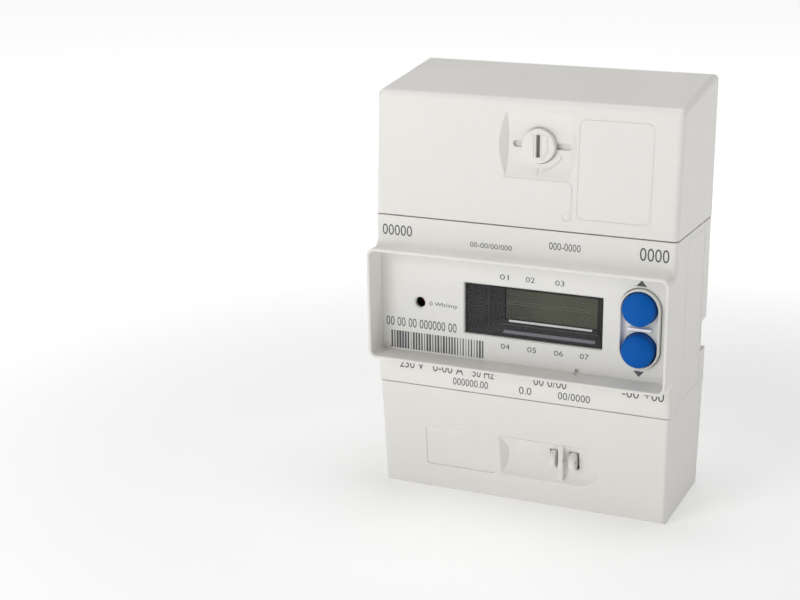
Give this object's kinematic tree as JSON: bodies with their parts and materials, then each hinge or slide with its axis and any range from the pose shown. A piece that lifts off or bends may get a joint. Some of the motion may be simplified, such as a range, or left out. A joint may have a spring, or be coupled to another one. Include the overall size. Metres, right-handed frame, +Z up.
{
  "type": "smart electric meter",
  "caption": "Single-phase smart electric meter: display bezel, push buttons, sealed terminal covers, clamps and boards inside a wall-mounted plastic housing.",
  "frame": {"origin": "centre of the bounding box's base, where the meter stands on its lower cover", "axes": "+Z up, -Y out of the front towards the reader, +X to the reader's right"},
  "size_m": [0.126, 0.0611, 0.1748],
  "materials": {
    "housing_plastic": "satin moulded, off-white",
    "face_plastic": "fine matte, light grey",
    "window_clear": "clear, polished",
    "mask_black": "satin black",
    "lcd_glass": "green-grey display cell",
    "button_blue": "satin blue",
    "board_green": "solder mask",
    "led_red": "clear red",
    "contact_rubber": "matte",
    "component_black": "satin black",
    "component_yellow": "wound coil tape",
    "terminal_plastic": "dark grey",
    "brass": "machined",
    "copper": "bare copper strip",
    "plated_steel": "zinc plated"
  },
  "bodies": {
    "housing": {"base_shell": "housing_plastic", "main_cover": "housing_plastic", "face_plate": "face_plastic", "display_window": "window_clear", "display_mask": "mask_black", "lcd_glass": "lcd_glass", "lcd_reflector": "housing_plastic", "contact_strip_lower": "contact_rubber", "contact_strip_upper": "contact_rubber", "pulse_lamp": "led_red", "button_surround": "face_plastic", "switch_select": "component_black", "switch_scroll": "component_black", "main_board": "board_green", "power_board": "board_green", "board_screw_1": "plated_steel", "board_screw_2": "plated_steel", "board_screw_3": "plated_steel", "board_screw_4": "plated_steel", "power_board_screw_1": "plated_steel", "power_board_screw_2": "plated_steel", "supply_transformer": "component_yellow", "supply_capacitor": "component_black", "control_relay": "component_black", "board_link_header": "component_black", "terminal_block": "terminal_plastic", "phase_bar_in": "copper", "phase_bar_out": "copper", "current_shunt": "plated_steel", "neutral_bar": "copper", "aux_terminal_block": "terminal_plastic", "latch_keeper": "terminal_plastic", "seal_lug": "housing_plastic", "housing_screw_1": "plated_steel", "housing_screw_2": "plated_steel", "housing_screw_3": "plated_steel", "housing_screw_4": "plated_steel"},
    "upper_cover": {"upper_cover": "housing_plastic", "knob_clip": "plated_steel"},
    "knob": {"cover_knob": "housing_plastic", "latch_cam": "plated_steel", "cam_screw": "plated_steel"},
    "lower_cover": {"lower_cover": "housing_plastic"},
    "button_select": {"button_select": "button_blue"},
    "button_scroll": {"button_scroll": "button_blue"},
    "cage_1": {"terminal_cage_1": "brass"},
    "clamp_screw_1": {"terminal_screw_1": "plated_steel"},
    "cage_2": {"terminal_cage_2": "brass"},
    "clamp_screw_2": {"terminal_screw_2": "plated_steel"},
    "cage_3": {"terminal_cage_3": "brass"},
    "clamp_screw_3": {"terminal_screw_3": "plated_steel"},
    "cage_4": {"terminal_cage_4": "brass"},
    "clamp_screw_4": {"terminal_screw_4": "plated_steel"}
  },
  "joints": [
    {"name": "upper_cover_pull", "type": "slide", "parent": "housing", "child": "upper_cover", "axis": [0, -1, 0], "range_m": [0, 0.06]},
    {"name": "knob_turn", "type": "hinge", "parent": "upper_cover", "child": "knob", "pos_m": [0.0057, -0.01845, 0.149], "axis": [0, 1, 0], "range_deg": [0, 90]},
    {"name": "lower_cover_pull", "type": "slide", "parent": "housing", "child": "lower_cover", "axis": [0, -1, 0], "range_m": [0, 0.06]},
    {"name": "select_press", "type": "slide", "parent": "housing", "child": "button_select", "axis": [0, 1, 0], "range_m": [0, 0.0015], "stiffness_N_per_m": 800, "springref_m": -0.0008},
    {"name": "scroll_press", "type": "slide", "parent": "housing", "child": "button_scroll", "axis": [0, 1, 0], "range_m": [0, 0.0015], "stiffness_N_per_m": 800, "springref_m": -0.0008},
    {"name": "cage_1_draw", "type": "slide", "parent": "housing", "child": "cage_1", "axis": [0, -1, 0], "range_m": [0, 0.0032]},
    {"name": "clamp_screw_1_turn", "type": "hinge", "parent": "housing", "child": "clamp_screw_1", "pos_m": [-0.0375, -0.00385, 0.0347], "axis": [0, 1, 0], "range_deg": [0, 1440]},
    {"name": "cage_2_draw", "type": "slide", "parent": "housing", "child": "cage_2", "axis": [0, -1, 0], "range_m": [0, 0.0032]},
    {"name": "clamp_screw_2_turn", "type": "hinge", "parent": "housing", "child": "clamp_screw_2", "pos_m": [-0.0125, -0.00385, 0.0347], "axis": [0, 1, 0], "range_deg": [0, 1440]},
    {"name": "cage_3_draw", "type": "slide", "parent": "housing", "child": "cage_3", "axis": [0, -1, 0], "range_m": [0, 0.0032]},
    {"name": "clamp_screw_3_turn", "type": "hinge", "parent": "housing", "child": "clamp_screw_3", "pos_m": [0.0125, -0.00385, 0.0347], "axis": [0, 1, 0], "range_deg": [0, 1440]},
    {"name": "cage_4_draw", "type": "slide", "parent": "housing", "child": "cage_4", "axis": [0, -1, 0], "range_m": [0, 0.0032]},
    {"name": "clamp_screw_4_turn", "type": "hinge", "parent": "housing", "child": "clamp_screw_4", "pos_m": [0.0375, -0.00385, 0.0347], "axis": [0, 1, 0], "range_deg": [0, 1440]}
  ],
  "couplings": [
    {"joint": "clamp_screw_1_turn", "follows": "cage_1_draw", "rad_per_m": 7854},
    {"joint": "clamp_screw_2_turn", "follows": "cage_2_draw", "rad_per_m": 7854},
    {"joint": "clamp_screw_3_turn", "follows": "cage_3_draw", "rad_per_m": 7854},
    {"joint": "clamp_screw_4_turn", "follows": "cage_4_draw", "rad_per_m": 7854}
  ]
}
